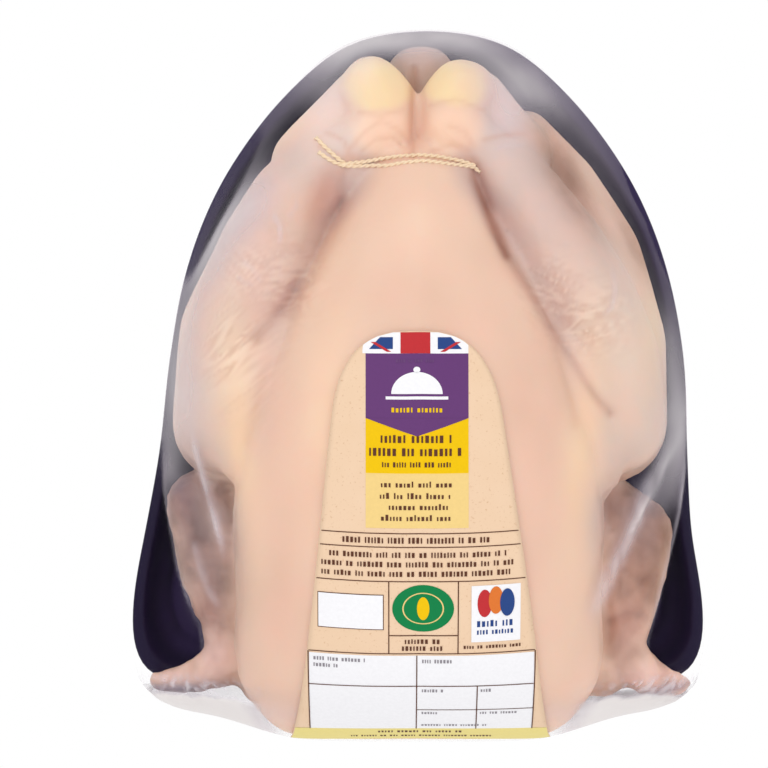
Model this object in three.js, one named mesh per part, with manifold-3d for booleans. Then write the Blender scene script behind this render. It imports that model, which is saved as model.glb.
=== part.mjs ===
// A whole raw chicken in its shop pack. The bird lies on its back, breast up, in a shallow moulded
// tray. Clear film is drawn tight over bird and tray, and a paper label runs from the breast over
// the neck end. Millimetres, +Z up, +X to the right, +Y towards the tied legs. The origin is on the
// surface that the tray stands on, under the middle of the pack.

import * as THREE from "three";
import { mergeVertices } from "three/addons/utils/BufferGeometryUtils.js";
import Module from "manifold-3d";

const wasm = await Module();
wasm.setup();

// The pack seen from above: its ends, and its half-width at stations between them
const LEG_END_Y = 134.7;
const NECK_END_Y = -134.7;
const PACK_STATIONS = [
  [129, 31],
  [112, 52],
  [95, 66.5],
  [72, 80.8],
  [43.5, 91.6],
  [9, 98],
  [-25, 100.5],
  [-59, 104.5],
  [-82, 108.7],
  [-99, 108.7],
  [-110.5, 106.4],
  [-118, 102],
  [-123.5, 93],
  [-127, 76],
  [-133.5, 46],
];
const LEAN = 3.4; // the leg half of the pack lies this far to the right
const LEAN_FROM_Y = -60;
const LEAN_TO_Y = 0;
const PACK_CENTRE = new THREE.Vector2(0, -10);
const OUTLINE_STEPS = 720;
const LEAST_STATION_STEP = 5;

// The tray: its neck side is a straight edge, and the bird's shoulders pass over it
const TRAY_FRONT_Y = -113;
const TRAY_RIM_Z = 22;
const TRAY_FLANGE_SHARE = 0.965; // inner edge of the flange, as a share of the way out from the centre
const TRAY_BASE_SHARE = 0.88;
const TRAY_WALL_SHARE = 0.011;
const TRAY_SHEET = 1.1;
const TRAY_SPOKES = 72;
const TRAY_SHOULDER_STATIONS = [
  [-107, 107],
  [-111.5, 103],
  [TRAY_FRONT_Y, 96],
  [TRAY_FRONT_Y, 48],
];
const TRAY_FOOT_SHARE = 0.03; // the floor's edge is this far inside the wall, as a share of the way out
const TRAY_FOOT_RISE = 1.2;
const TRAY_WALL_START_Z = 4.5;
const TRAY_LIP_SHARE = 0.99;
const TRAY_LIP_ROUND = 1;
const TRAY_LIP_DROP = 2.6;
const TRAY_LIP_UNDERCUT = 0.6;

// The bird's trunk, from tail to neck: y, half-width and top of the breast
const TRUNK_STATIONS = [
  [94, 8, 52],
  [86, 20, 72],
  [66, 28, 88],
  [48, 38, 97.5],
  [31, 47.5, 104.5],
  [10, 57, 110],
  [-20, 66.5, 115],
  [-50, 69.5, 116.5],
  [-80, 68, 114],
  [-98, 69, 108],
  [-110, 67, 100],
  [-119, 62, 89],
  [-127, 55.5, 75],
  [-131, 50, 63],
  [-133.5, 43, 52],
];
const TRUNK_MIDDLE_Z = 54; // height of the trunk's widest part
const BREAST_FULLNESS = 2.3;
const KEEL_RISE = 2.2;
const KEEL_WIDTH = 9;
const KEEL_FROM_Y = -90;
const KEEL_TO_Y = -20;
const LEAST_CROWN = 12; // the widest part lies at least this far below the top

// Limbs as chains of balls: x, y, z and radius of each ball that the flesh is drawn over
const LIMBS = [
  [[-18, 111, 60, 12], [-13.5, 104, 60, 13], [-14, 96, 61, 12.6], [-21, 88, 61, 12], [-34, 80, 62, 12.5],
    [-48, 68.5, 63, 15.5], [-57, 50, 63, 18], [-64, 31, 61, 19.5], [-69, 9, 57, 20.5], [-71.5, -14, 52, 20]],
  [[16.5, 110.5, 60, 11.8], [13, 104, 60, 13], [13, 96, 61, 12.8], [20, 88, 61, 12], [30, 80.5, 62, 12.5],
    [40.5, 68.5, 63, 14.5], [52, 50, 63, 17.5], [62, 31, 61, 19.5], [70, 9, 57, 20.5], [73, -14, 52, 20]],
  [[-48, 68, 38, 15], [-59, 46, 36, 18.5], [-68, 18, 37, 23], [-69, -14, 38, 24]],
  [[40, 92, 42, 11], [50, 70, 37, 16], [63, 46, 36, 20], [70.5, 15, 36, 23.2], [70, -14, 38, 24]],
  [[-50, -98, 30, 16], [-82, -46, 26, 14], [-77.5, -72, 27, 13], [-71, -92, 28, 11], [-70, -104, 29, 10],
    [-85, -111, 30, 6.5], [-99, -113, 29, 4.5]],
  [[50, -98, 30, 16], [82, -56, 26, 13.5], [80.5, -70, 27, 13], [76.5, -84, 28, 12.5], [75, -100, 29, 10.5],
    [87, -111, 30, 7.5], [101, -115, 29, 4.5]],
  [[0, 86, 40, 22], [2, 104, 30, 14], [1, 116, 36, 8.5]],
  [[-31, 70, 56, 6], [-35, 58, 60, 7], [-44, 40, 66, 8]],
  [[-54, 16, 68, 13], [-58, 0, 68, 15], [-61, -24, 62, 15]],
  [[52, 8, 68, 13], [57, -10, 67, 15], [61, -30, 61, 15]],
  [[-24, 108, 52, 9], [-33, 96, 52, 11], [-42, 84, 56, 13]],
  [[24, 108, 52, 9], [31, 97, 52, 10], [38, 86, 55, 12]],
];
const BALLS_PER_STEP = 8;

// The film: a taut sheet held at the pack's edge, lifted by the bird and drawn in a little between
const FILM_LIFT = 0.8;
const FILM_CELLS = 54;
const FILM_ROUNDS = 700;
const FILM_DRAW_IN = 0.0045;
const FILM_EDGE_Z = 23.4;
const FILM_SHOULDER_EDGE_Z = 16;
const FILM_NECK_EDGE_Z = 46;
const NECK_HALF_WIDTH = 42; // the film's edge is high as far out as this, and low from the next width on
const SHOULDER_HALF_WIDTH = 84;
const NECK_EDGE_FROM = 12; // the edge leaves the tray's rim this far past its front, from this far behind it
const RIM_EDGE_TO = 2;
const FILM_UNDER_Z = 0.8;
const SAG_SCALE = 16;
const NECK_TUCK_ANGLE = 0.85; // how steeply the film is tucked under the neck end, in radians
const CLEARANCE = 0.35;
const FRONT_GAP = 1; // the film hangs this far before the tray's straight front edge
const TUCK_BACK = 2; // the tuck starts this far before that edge
const MUCH = 400; // longer than the pack, for blocks that cut it
const HOLLOW_TOP_Z = 60;
const HOLLOW_TOP_INSET = 0.012;

// The label: where its arched top lies on the breast, its length over the curve, and its half-width,
// which grows steadily from the top and is rounded off over the length of the arch
const LABEL_TOP_Y = 19;
const LABEL_LENGTH = 175;
const LABEL_HALF_WIDTH = 26.6;
const LABEL_SPREAD = 0.1235;
const LABEL_ARCH = 34;
const LABEL_CROWN = 0.5;
const ARCH_FULLNESS = 2.6;
const ARCH_ROUNDNESS = 1 / 3;
const LABEL_MIDDLE_X = 0.7;
const LABEL_ARCH_MIDDLE_X = -1.4;
const LABEL_STRAIGHT_FROM = 120;
const LABEL_SHEET = 0.5;
const LABEL_LIFT = 1.1;
const LABEL_ROWS = 54;
const LABEL_COLUMNS = 12;
const ROW_CROWDING = 1.4; // rows lie closer together round the arch
const WRAP_REACH = 60; // lengths are run in planes as far out as this to each side, this far apart
const WRAP_STEP = 4;
const WRAP_FIRST_ANGLE = -Math.PI * 0.05;
const WRAP_LAST_ANGLE = Math.PI * 1.3;
const WRAP_ANGLES = 430;
const WRAP_AXIS = new THREE.Vector3(0, -62, 26); // the label is wrapped about a line along X through here

const smooth = THREE.MathUtils.smoothstep;

// A value at a place along stations of [place, value, ...], by a spline through them.
function alongStations(stations, column) {
  const curve = new THREE.CatmullRomCurve3(
    stations.map((row) => new THREE.Vector3(row[0], row[column], 0)),
    false,
    "centripetal",
  );
  const samples = curve.getPoints(stations.length * 16).sort((a, b) => a.x - b.x);
  return (place) => {
    if (place <= samples[0].x) return samples[0].y;
    for (let i = 1; i < samples.length; i++) {
      const [low, high] = [samples[i - 1], samples[i]];
      if (place <= high.x) {
        const share = (place - low.x) / Math.max(high.x - low.x, 1e-9);
        return THREE.MathUtils.lerp(low.y, high.y, share);
      }
    }
    return samples.at(-1).y;
  };
}

// The distance from PACK_CENTRE to a closed outline, at an angle.
function polarOutline(points) {
  const curve = new THREE.CatmullRomCurve3(
    points.map(([x, y]) => new THREE.Vector3(x, y, 0)),
    true,
    "centripetal",
  );
  const samples = curve
    .getPoints(OUTLINE_STEPS)
    .map((p) => new THREE.Vector2(p.x, p.y).sub(PACK_CENTRE))
    .map((p) => ({ angle: Math.atan2(p.y, p.x), radius: p.length() }))
    .sort((a, b) => a.angle - b.angle);
  const turn = 2 * Math.PI;
  const [first, last] = [samples[0], samples.at(-1)];
  samples.unshift({ angle: last.angle - turn, radius: last.radius });
  samples.push({ angle: first.angle + turn, radius: first.radius });
  return (angle) => {
    const at = samples.findIndex((s) => s.angle >= angle);
    const [low, high] = [samples[at - 1], samples[at]];
    const share = (angle - low.angle) / Math.max(high.angle - low.angle, 1e-9);
    return THREE.MathUtils.lerp(low.radius, high.radius, share);
  };
}

const leanAt = (y) => LEAN * smooth(y, LEAN_FROM_Y, LEAN_TO_Y);

// Both sides of a shape given by its half-widths, as one closed ring of points.
function bothSides(stations, ends) {
  const right = stations.map(([y, half]) => [leanAt(y) + half, y]);
  const left = stations.map(([y, half]) => [leanAt(y) - half, y]).reverse();
  return [[leanAt(ends[0]), ends[0]], ...right, [0, ends[1]], ...left];
}

const packRadius = polarOutline(bothSides(PACK_STATIONS, [LEG_END_Y, NECK_END_Y]));
const trayStations = [
  ...PACK_STATIONS.filter(([y]) => y > TRAY_SHOULDER_STATIONS[0][0] + LEAST_STATION_STEP),
  ...TRAY_SHOULDER_STATIONS,
];
const trayRadius = polarOutline(bothSides(trayStations, [LEG_END_Y, TRAY_FRONT_Y]));

const trunkHalfWidth = alongStations(TRUNK_STATIONS, 1);
const trunkTop = alongStations(TRUNK_STATIONS, 2);

// Height of the trunk's skin over a point, or 0 beside it.
function trunkSkin(x, y) {
  if (y > TRUNK_STATIONS[0][0] || y < TRUNK_STATIONS.at(-1)[0]) return 0;
  const out = Math.abs(x) / trunkHalfWidth(y);
  if (out >= 1) return 0;
  const top = trunkTop(y);
  const middle = Math.min(TRUNK_MIDDLE_Z, top - LEAST_CROWN);
  const crown = (1 - out ** BREAST_FULLNESS) ** (1 / BREAST_FULLNESS);
  const keel = KEEL_RISE * Math.exp(-((x / KEEL_WIDTH) ** 2)) * smooth(y, KEEL_FROM_Y, KEEL_TO_Y);
  return middle + (top - middle) * crown + keel;
}

// The balls of a limb, with more laid between those that are named.
function fillChain(chain) {
  const balls = [];
  for (let i = 0; i + 1 < chain.length; i++)
    for (let step = 0; step < BALLS_PER_STEP; step++) {
      const share = step / BALLS_PER_STEP;
      balls.push(chain[i].map((value, k) => THREE.MathUtils.lerp(value, chain[i + 1][k], share)));
    }
  balls.push(chain.at(-1));
  return balls;
}
const balls = LIMBS.flatMap(fillChain);

// Height of the bird's skin over a point.
function skinHeight(x, y) {
  let height = trunkSkin(x, y);
  for (const [bx, by, bz, radius] of balls) {
    const left = radius * radius - (x - bx) ** 2 - (y - by) ** 2;
    if (left > 0) height = Math.max(height, bz + Math.sqrt(left));
  }
  return height;
}

// A point of the square from -1 to 1, moved to the same place on the pack's outline shape.
function onPack(u, v) {
  const x = u * Math.sqrt(1 - (v * v) / 2);
  const y = v * Math.sqrt(1 - (u * u) / 2);
  const reach = Math.hypot(x, y) * packRadius(Math.atan2(y, x));
  const angle = Math.atan2(y, x);
  return new THREE.Vector2(reach * Math.cos(angle), reach * Math.sin(angle)).add(PACK_CENTRE);
}

// Height at which the film leaves the pack's edge: the tray's rim, and past it at the neck end lower
// at the shoulders and higher under the neck.
function edgeHeight(x, y) {
  const outwards = smooth(Math.abs(x), NECK_HALF_WIDTH, SHOULDER_HALF_WIDTH);
  const past = THREE.MathUtils.lerp(FILM_NECK_EDGE_Z, FILM_SHOULDER_EDGE_Z, outwards);
  const backwards = smooth(y, TRAY_FRONT_Y - NECK_EDGE_FROM, TRAY_FRONT_Y + RIM_EDGE_TO);
  return THREE.MathUtils.lerp(past, FILM_EDGE_Z, backwards);
}

// The film as a net of points. Each free point settles at the mean height of its neighbours, drawn
// in a little, and never below the skin.
function settledFilm() {
  const n = FILM_CELLS;
  const net = [];
  for (let j = 0; j <= n; j++)
    for (let i = 0; i <= n; i++) {
      const place = onPack((2 * i) / n - 1, (2 * j) / n - 1);
      const held = i === 0 || j === 0 || i === n || j === n;
      const skin = skinHeight(place.x, place.y) + FILM_LIFT;
      const z = held ? edgeHeight(place.x, place.y) : Math.max(skin, FILM_EDGE_Z);
      net.push({ x: place.x, y: place.y, z, skin, held });
    }
  for (const [at, point] of net.entries()) {
    if (point.held) continue;
    point.near = [at - 1, at + 1, at - n - 1, at + n + 1].map((k) => {
      const length = Math.hypot(net[k].x - point.x, net[k].y - point.y);
      return { point: net[k], pull: 1 / length };
    });
    point.pulls = point.near.reduce((sum, each) => sum + each.pull, 0);
    point.sag = (FILM_DRAW_IN * SAG_SCALE) / point.pulls ** 2;
  }
  for (let round = 0; round < FILM_ROUNDS; round++)
    for (const point of net) {
      if (point.held) continue;
      const mean = point.near.reduce((sum, each) => sum + each.pull * each.point.z, 0) / point.pulls;
      point.z = Math.max(point.skin, mean - point.sag);
    }
  return net;
}

// A closed geometry with only its positions, and with its shared points merged.
function welded(geometry) {
  const bare = geometry.index ? geometry.clone() : mergeVertices(geometry);
  bare.deleteAttribute("normal");
  bare.deleteAttribute("uv");
  return mergeVertices(bare, 1e-3);
}

function toManifold(geometry) {
  const mesh = welded(geometry);
  return new wasm.Manifold(
    new wasm.Mesh({
      numProp: 3,
      vertProperties: mesh.attributes.position.array,
      triVerts: new Uint32Array(mesh.index.array),
    }),
  );
}

function fromManifold(solid) {
  const mesh = solid.getMesh();
  return new THREE.BufferGeometry()
    .setAttribute("position", new THREE.BufferAttribute(new Float32Array(mesh.vertProperties), 3))
    .setIndex(new THREE.BufferAttribute(mesh.triVerts, 1));
}

// The film's net closed by a skirt and a flat underside: a plane grid moved to the net's points.
function bagBlock(net) {
  const n = FILM_CELLS;
  const top = new THREE.PlaneGeometry(2, 2, n, n);
  const positions = [];
  for (let j = 0; j <= n; j++)
    for (let i = 0; i <= n; i++) {
      const { x, y, z } = net[(n - j) * (n + 1) + i];
      positions.push(x, y, z);
    }
  const faces = [...top.index.array];
  const rim = [];
  for (let k = 0; k < n; k++) rim.push(n * (n + 1) + k);
  for (let k = n; k > 0; k--) rim.push(k * (n + 1) + n);
  for (let k = n; k > 0; k--) rim.push(k);
  for (let k = 0; k < n; k++) rim.push(k * (n + 1));
  const foot = positions.length / 3;
  for (const at of rim) positions.push(positions[3 * at], positions[3 * at + 1], FILM_UNDER_Z);
  rim.forEach((at, k) => {
    const next = (k + 1) % rim.length;
    faces.push(at, foot + k, rim[next], rim[next], foot + k, foot + next);
  });
  const ring = rim.map((at) => new THREE.Vector2(positions[3 * at], positions[3 * at + 1]));
  const underside = THREE.ShapeUtils.triangulateShape(ring, []);
  for (const [a, b, c] of underside) faces.push(foot + a, foot + c, foot + b);
  return new THREE.BufferGeometry()
    .setAttribute("position", new THREE.Float32BufferAttribute(positions, 3))
    .setIndex(faces);
}

// A round profile of [share of the way out, height], turned about the tray's centre and stretched to
// its outline.
function onTray(profile) {
  const turned = new THREE.LatheGeometry(
    profile.map(([share, z]) => new THREE.Vector2(share, z)),
    TRAY_SPOKES,
  );
  const position = turned.attributes.position;
  for (let i = 0; i < position.count; i++) {
    const [x, y] = [position.getX(i), -position.getZ(i)];
    const angle = Math.atan2(y, x);
    const reach = Math.hypot(x, y) * trayRadius(angle);
    position.setXYZ(
      i,
      PACK_CENTRE.x + reach * Math.cos(angle),
      PACK_CENTRE.y + reach * Math.sin(angle),
      position.getY(i),
    );
  }
  return turned;
}

// Inside of the tray, from the middle of its floor up to the flange, in by a clearance.
const hollowProfile = (inward) => {
  const share = inward / 100; // the pack is about 100 mm from its middle to its side
  const floor = TRAY_SHEET + inward;
  return [
    [0, floor],
    [TRAY_BASE_SHARE - TRAY_FOOT_SHARE - 2 * TRAY_WALL_SHARE, floor],
    [TRAY_BASE_SHARE - TRAY_WALL_SHARE - share, floor + TRAY_FOOT_RISE],
    [TRAY_BASE_SHARE - share, floor + TRAY_WALL_START_Z],
    [TRAY_FLANGE_SHARE - TRAY_WALL_SHARE - share, TRAY_RIM_Z + inward],
  ];
};

function trayGeometry() {
  const outer = [
    [TRAY_FLANGE_SHARE, TRAY_RIM_Z],
    [TRAY_LIP_SHARE, TRAY_RIM_Z - 0.2 * TRAY_LIP_ROUND],
    [1, TRAY_RIM_Z - TRAY_LIP_ROUND],
    [1, TRAY_RIM_Z - TRAY_LIP_DROP],
    [TRAY_FLANGE_SHARE, TRAY_RIM_Z - TRAY_SHEET - TRAY_LIP_UNDERCUT],
    [TRAY_BASE_SHARE + TRAY_WALL_SHARE, TRAY_WALL_START_Z],
    [TRAY_BASE_SHARE, TRAY_FOOT_RISE],
    [TRAY_BASE_SHARE - TRAY_FOOT_SHARE, 0],
    [0, 0],
  ];
  return welded(onTray([...hollowProfile(0), ...outer].reverse()));
}

// The wrapped bird: the film's block, less the tray and what lies outside it, and tucked under at the neck.
function bagGeometry(block) {
  const depth = 5;
  const below = new THREE.BoxGeometry(MUCH, MUCH, TRAY_RIM_Z + CLEARANCE + depth);
  below.translate(0, TRAY_FRONT_Y - FRONT_GAP + MUCH / 2, (TRAY_RIM_Z + CLEARANCE - depth) / 2);
  const top = TRAY_FLANGE_SHARE - HOLLOW_TOP_INSET;
  const hollow = onTray([...hollowProfile(CLEARANCE), [top, HOLLOW_TOP_Z], [0, HOLLOW_TOP_Z]]);
  const outside = toManifold(below).subtract(toManifold(hollow));
  const tuck = new THREE.BoxGeometry(MUCH, MUCH, MUCH);
  tuck.translate(0, -MUCH / 2, -MUCH / 2);
  tuck.rotateX(-NECK_TUCK_ANGLE);
  tuck.translate(0, TRAY_FRONT_Y - TUCK_BACK, 0);
  return fromManifold(toManifold(block).subtract(outside).subtract(toManifold(tuck)));
}

// The label's line over the bag in one upright plane, as angles about WRAP_AXIS with the length run
// from the place where the label's top lies.
function labelRun(hit, x) {
  const run = [];
  let length = 0;
  let last = null;
  for (let k = 0; k <= WRAP_ANGLES; k++) {
    const angle = THREE.MathUtils.lerp(WRAP_FIRST_ANGLE, WRAP_LAST_ANGLE, k / WRAP_ANGLES);
    const point = hit(x, angle);
    if (!point || (run.length === 0 && point.y > LABEL_TOP_Y)) continue;
    if (last) length += point.distanceTo(last);
    run.push({ angle, length });
    last = point;
  }
  return (wanted) => {
    const at = Math.max(1, run.findIndex((r) => r.length >= wanted));
    const [low, high] = [run[at - 1], run[at]];
    return THREE.MathUtils.mapLinear(wanted, low.length, high.length, low.angle, high.angle);
  };
}

function labelHalfWidth(run) {
  const arch = 1 - (1 - Math.min((run + LABEL_CROWN) / LABEL_ARCH, 1)) ** ARCH_FULLNESS;
  return (LABEL_HALF_WIDTH + LABEL_SPREAD * run) * arch ** ARCH_ROUNDNESS;
}

function labelGeometry(block) {
  const bag = new THREE.Mesh(block, new THREE.MeshBasicMaterial({ side: THREE.DoubleSide }));
  const caster = new THREE.Raycaster();
  // Angle 0 looks up along +Y's side of the vertical, and it grows towards the neck end.
  const outward = (angle) => new THREE.Vector3(0, Math.cos(angle), Math.sin(angle));
  const hit = (x, angle) => {
    const direction = outward(angle);
    const start = WRAP_AXIS.clone().setX(x).addScaledVector(direction, MUCH);
    caster.set(start, direction.negate());
    return caster.intersectObject(bag)[0]?.point;
  };
  const runs = [];
  for (let x = -WRAP_REACH; x <= WRAP_REACH; x += WRAP_STEP) runs.push(labelRun(hit, x));
  const angleAt = (x, run) => {
    const place = (x + WRAP_REACH) / WRAP_STEP;
    const low = Math.floor(place);
    return THREE.MathUtils.lerp(runs[low](run), runs[low + 1](run), place - low);
  };
  const middleAt = (run) =>
    THREE.MathUtils.lerp(LABEL_ARCH_MIDDLE_X, LABEL_MIDDLE_X, smooth(run, 0, LABEL_STRAIGHT_FROM));
  const box = new THREE.BoxGeometry(2, 1, 1, LABEL_COLUMNS, LABEL_ROWS, 1);
  const position = box.attributes.position;
  const rowAt = (share) => LABEL_LENGTH * share ** ROW_CROWDING;
  const point = (u, share) => {
    const run = rowAt(share);
    const x = middleAt(run) + u * labelHalfWidth(run);
    return hit(x, angleAt(x, run));
  };
  for (let i = 0; i < position.count; i++) {
    const u = position.getX(i);
    const share = 0.5 - position.getY(i);
    const lift = LABEL_LIFT + (position.getZ(i) + 0.5) * LABEL_SHEET;
    const here = point(u, share);
    const step = 0.02;
    const along = point(u, Math.min(share + step, 1)).sub(point(u, Math.max(share - step, 0)));
    const across = point(u + step, share).sub(point(u - step, share));
    here.addScaledVector(across.cross(along).negate().normalize(), lift);
    position.setXYZ(i, here.x, here.y, here.z);
  }
  return welded(box);
}

const finish = (color, roughness) => new THREE.MeshStandardMaterial({ color, roughness });

function namedMesh(name, geometry, material) {
  const mesh = new THREE.Mesh(geometry, material);
  mesh.name = name;
  return mesh;
}

const block = bagBlock(settledFilm());
const pack = new THREE.Group();
pack.add(
  namedMesh("tray", trayGeometry(), finish("#2a1f38", 0.35)),
  namedMesh("wrapped_chicken", bagGeometry(block), finish("#ecc9b2", 0.3)),
  namedMesh("label", labelGeometry(block), finish("#f8d8b4", 0.7)),
);

export default pack;
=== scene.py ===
"""The looks of a whole raw chicken in its shop pack: bird, tied legs, clear film, tray and label.

Sizes are in millimetres, turned to metres where Blender needs them. +X is to the right, +Y towards
the tied legs and +Z up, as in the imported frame.
"""

import math
import random

import bmesh
import bpy
import numpy as np
from mathutils import Matrix, Vector, noise
from mathutils.bvhtree import BVHTree


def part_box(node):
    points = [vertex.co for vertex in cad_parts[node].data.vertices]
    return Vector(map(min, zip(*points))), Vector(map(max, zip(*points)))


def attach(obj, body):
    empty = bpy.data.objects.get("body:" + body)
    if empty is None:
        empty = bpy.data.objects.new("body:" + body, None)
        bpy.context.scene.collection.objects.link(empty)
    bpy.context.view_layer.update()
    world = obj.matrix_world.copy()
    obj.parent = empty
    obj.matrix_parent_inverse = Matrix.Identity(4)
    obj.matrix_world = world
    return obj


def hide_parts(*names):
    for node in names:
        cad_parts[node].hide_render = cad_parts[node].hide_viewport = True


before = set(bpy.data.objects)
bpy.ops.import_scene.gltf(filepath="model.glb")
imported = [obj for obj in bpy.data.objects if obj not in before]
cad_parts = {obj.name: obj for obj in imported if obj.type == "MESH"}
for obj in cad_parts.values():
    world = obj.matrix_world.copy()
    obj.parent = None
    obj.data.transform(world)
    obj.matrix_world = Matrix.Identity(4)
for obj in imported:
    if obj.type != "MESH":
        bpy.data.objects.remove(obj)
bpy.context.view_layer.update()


# The tray: one sheet of glossy aubergine PET, thermoformed, with a rolled rim and shallow flutes in
# its walls that stiffen them. It stands on a flat base, and its neck side is a straight edge.

MM = 0.001
DRAWN_WALL_COLOUR = "433460"
NECK_RIM_COLOUR = "1D1530"
# The neck end's aubergine lightened by a painted reflection of the light, laid on towards the legs
LEG_END_SHEEN_COLOUR = "2E2346"
TRAY_BASE_HEIGHT = 2.0
TRAY_RIM_HEIGHT = 19.0
FLUTE_PITCH = 13.0
FLUTE_DEPTH = 0.7
FLUTE_FADE = 4
# The wall's mean distance from the tray's middle, on which the flutes are spaced
WALL_RADIUS = 95
# Heights where the sheet starts to thin, going down, and where it is thinnest
THIN_FROM = 18
THINNEST_AT = 6
# The tray is painted lighter towards the leg end, a painted reflection of the light; the leg end's colour is
# full from this far towards the legs
PAINTED_SHEEN_FROM = 50
TRAY_MIDDLE = Vector((0, -10, 0))


def linear(hex_code):
    """A colour for a shader, from its sRGB hex value."""
    channels = [int(hex_code[i : i + 2], 16) / 255 for i in (0, 2, 4)]
    return [c / 12.92 if c <= 0.04045 else ((c + 0.055) / 1.055) ** 2.4 for c in channels]


def add_node(material, kind, inputs=None, **settings):
    """Adds one shader node, with its settings, values and links, and returns it."""
    tree = material.node_tree
    node = tree.nodes.new("ShaderNode" + kind)
    for name, value in settings.items():
        setattr(node, name, value)
    for key, value in (inputs or {}).items():
        if isinstance(value, bpy.types.NodeSocket):
            tree.links.new(value, node.inputs[key])
        elif isinstance(value, str):
            node.inputs[key].default_value = (*linear(value), 1)
        else:
            node.inputs[key].default_value = value
    return node


def new_material(name):
    material = bpy.data.materials.new(name)
    material.use_nodes = True
    material.node_tree.nodes.clear()
    return material


def surface(material, shader):
    add_node(material, "OutputMaterial", {"Surface": shader.outputs[0]})
    return material


def new_piece(name, mesh_maker, materials, smooth=True):
    """An object at the origin from a filled bmesh, riding on the pack's one body."""
    mesh = bpy.data.meshes.new(name)
    mesh_maker.to_mesh(mesh)
    mesh_maker.free()
    return dress(bpy.data.objects.new(name, mesh), materials, smooth)


def dress(piece, materials, smooth=True):
    if piece.name not in bpy.context.scene.collection.objects:
        bpy.context.scene.collection.objects.link(piece)
    for material in materials:
        piece.data.materials.append(material)
    piece.data.shade_smooth() if smooth else piece.data.shade_flat()
    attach(piece, "root")
    return piece


def merged_copy(node):
    """A bmesh of a CAD node with its loose triangles joined."""
    shape = bmesh.new()
    shape.from_mesh(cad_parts[node].data)
    bmesh.ops.remove_doubles(shape, verts=shape.verts, dist=0.01 * MM)
    return shape


def baked_modifiers(shape, name, modifiers):
    """The mesh of a bmesh after modifiers, given as [kind, settings], with none left on it."""
    mesh = bpy.data.meshes.new(name)
    shape.to_mesh(mesh)
    shape.free()
    carrier = bpy.data.objects.new(name, mesh)
    bpy.context.scene.collection.objects.link(carrier)
    for kind, settings in modifiers:
        modifier = carrier.modifiers.new(kind, kind)
        for key, value in settings.items():
            setattr(modifier, key, value)
    graph = bpy.context.evaluated_depsgraph_get()
    done = bpy.data.meshes.new_from_object(carrier.evaluated_get(graph))
    bpy.data.objects.remove(carrier)
    bpy.data.meshes.remove(mesh)
    done.materials.clear()
    return done


def points_of(mesh):
    """The vertices of a mesh in millimetres, one row each."""
    flat = np.zeros(len(mesh.vertices) * 3)
    mesh.vertices.foreach_get("co", flat)
    return flat.reshape(-1, 3) / MM


def set_points(mesh, points):
    mesh.vertices.foreach_set("co", (points * MM).ravel())
    mesh.update()


def normals_of(mesh):
    flat = np.zeros(len(mesh.vertices) * 3)
    mesh.vertex_normals.foreach_get("vector", flat)
    return flat.reshape(-1, 3)


def smoothstep(low, high, value):
    """0 at the low end, 1 at the high end and smooth between; the ends may lie either way round."""
    share = np.clip((value - low) / (high - low), 0, 1)
    return share * share * (3 - 2 * share)


def store_colours(mesh, name, colours):
    """Gives a mesh a linear colour at each vertex, which its material reads by name."""
    layer = mesh.color_attributes.new(name, "FLOAT_COLOR", "POINT")
    layer.data.foreach_set("color", np.c_[colours, np.ones(len(colours))].ravel())


tray_shape = merged_copy("tray")
bmesh.ops.join_triangles(
    tray_shape, faces=tray_shape.faces, angle_face_threshold=0.7, angle_shape_threshold=1.2
)
tray_mesh = baked_modifiers(tray_shape, "tray", [("SUBSURF", {"levels": 2, "render_levels": 2})])
tray_points = points_of(tray_mesh)
around = np.arctan2(tray_points[:, 1] - TRAY_MIDDLE.y, tray_points[:, 0])
on_wall = smoothstep(TRAY_BASE_HEIGHT, TRAY_BASE_HEIGHT + FLUTE_FADE, tray_points[:, 2])
on_wall *= 1 - smoothstep(TRAY_RIM_HEIGHT - FLUTE_FADE, TRAY_RIM_HEIGHT, tray_points[:, 2])
flutes = np.maximum(np.sin(around * 2 * math.pi * WALL_RADIUS / FLUTE_PITCH), 0) * FLUTE_DEPTH * on_wall
tray_points[:, 0] -= np.cos(around) * flutes
tray_points[:, 1] -= np.sin(around) * flutes
set_points(tray_mesh, tray_points)
facing_up = smoothstep(0.1, 0.5, normals_of(tray_mesh)[:, 2])
drawn_thin = smoothstep(THIN_FROM, THINNEST_AT, tray_points[:, 2]) * facing_up
# Painted reflection: the sheet's colour gets lighter towards the leg end
painted_sheen_share = smoothstep(0, PAINTED_SHEEN_FROM, tray_points[:, 1])
tray_tint_and_sheen = np.array(
    [
        (1 - painted_sheen_share) * neck + painted_sheen_share * leg + drawn_thin * (wall - (neck + leg) / 2)
        for neck, leg, wall in zip(*map(linear, (NECK_RIM_COLOUR, LEG_END_SHEEN_COLOUR, DRAWN_WALL_COLOUR)))
    ]
).T
store_colours(tray_mesh, "sheet_tint", tray_tint_and_sheen)

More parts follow.
